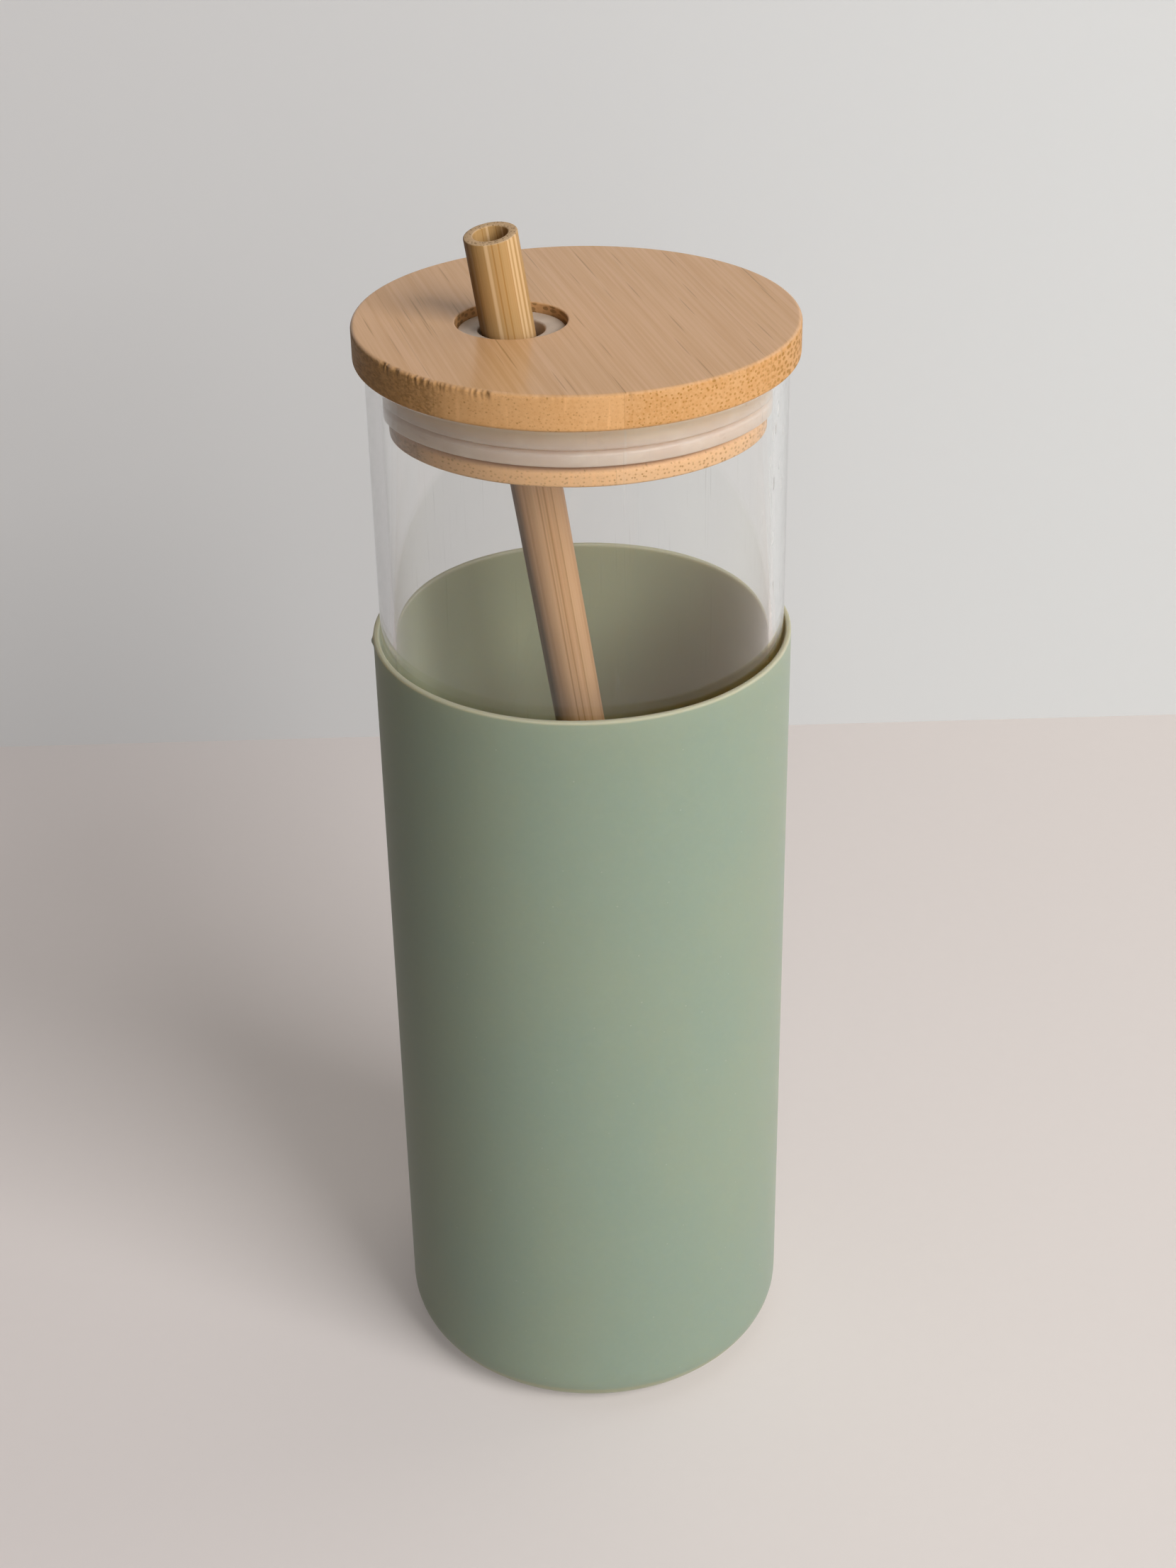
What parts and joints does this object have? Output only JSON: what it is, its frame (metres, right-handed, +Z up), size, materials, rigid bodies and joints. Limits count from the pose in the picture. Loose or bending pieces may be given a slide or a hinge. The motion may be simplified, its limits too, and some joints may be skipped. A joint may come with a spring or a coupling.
{
  "type": "sleeved glass tumbler with lid and straw",
  "caption": "Straight clear glass tumbler in a sage silicone sleeve, with a push-in bamboo lid on a silicone seal and a leaning bamboo straw.",
  "frame": {"origin": "centre of the sleeve's underside, on the surface that the tumbler stands on", "axes": "+Z up along the glass's axis; the straw's top leans towards -X and -Y, which is the picture's viewing side"},
  "size_m": [0.078, 0.078, 0.2351],
  "materials": {
    "clear_glass": "clear, fire-polished",
    "sage_silicone": "matte moulded silicone",
    "pale_bamboo": "sanded and oiled bamboo strip board",
    "frosted_silicone": "translucent satin silicone",
    "milky_silicone": "milky satin silicone",
    "golden_bamboo": "polished natural cane"
  },
  "bodies": {
    "tumbler": {"glass_tumbler": "clear_glass", "silicone_sleeve": "sage_silicone"},
    "seal": {"lid_seal": "frosted_silicone"},
    "lid": {"lid_disc": "pale_bamboo", "lid_plug": "pale_bamboo", "straw_grommet": "milky_silicone"},
    "straw": {"bamboo_straw": "golden_bamboo"}
  },
  "joints": [
    {"name": "lid_lift", "type": "slide", "parent": "tumbler", "child": "seal", "axis": [0, 0, 1], "range_m": [0, 0.215]},
    {"name": "lid_turn", "type": "hinge", "parent": "seal", "child": "lid", "pos_m": [0, 0, 0.2119], "axis": [0, 0, 1], "continuous": true},
    {"name": "straw_slide", "type": "slide", "parent": "lid", "child": "straw", "axis": [-0.1335, -0.1218, 0.9835], "range_m": [0, 0.225]}
  ]
}
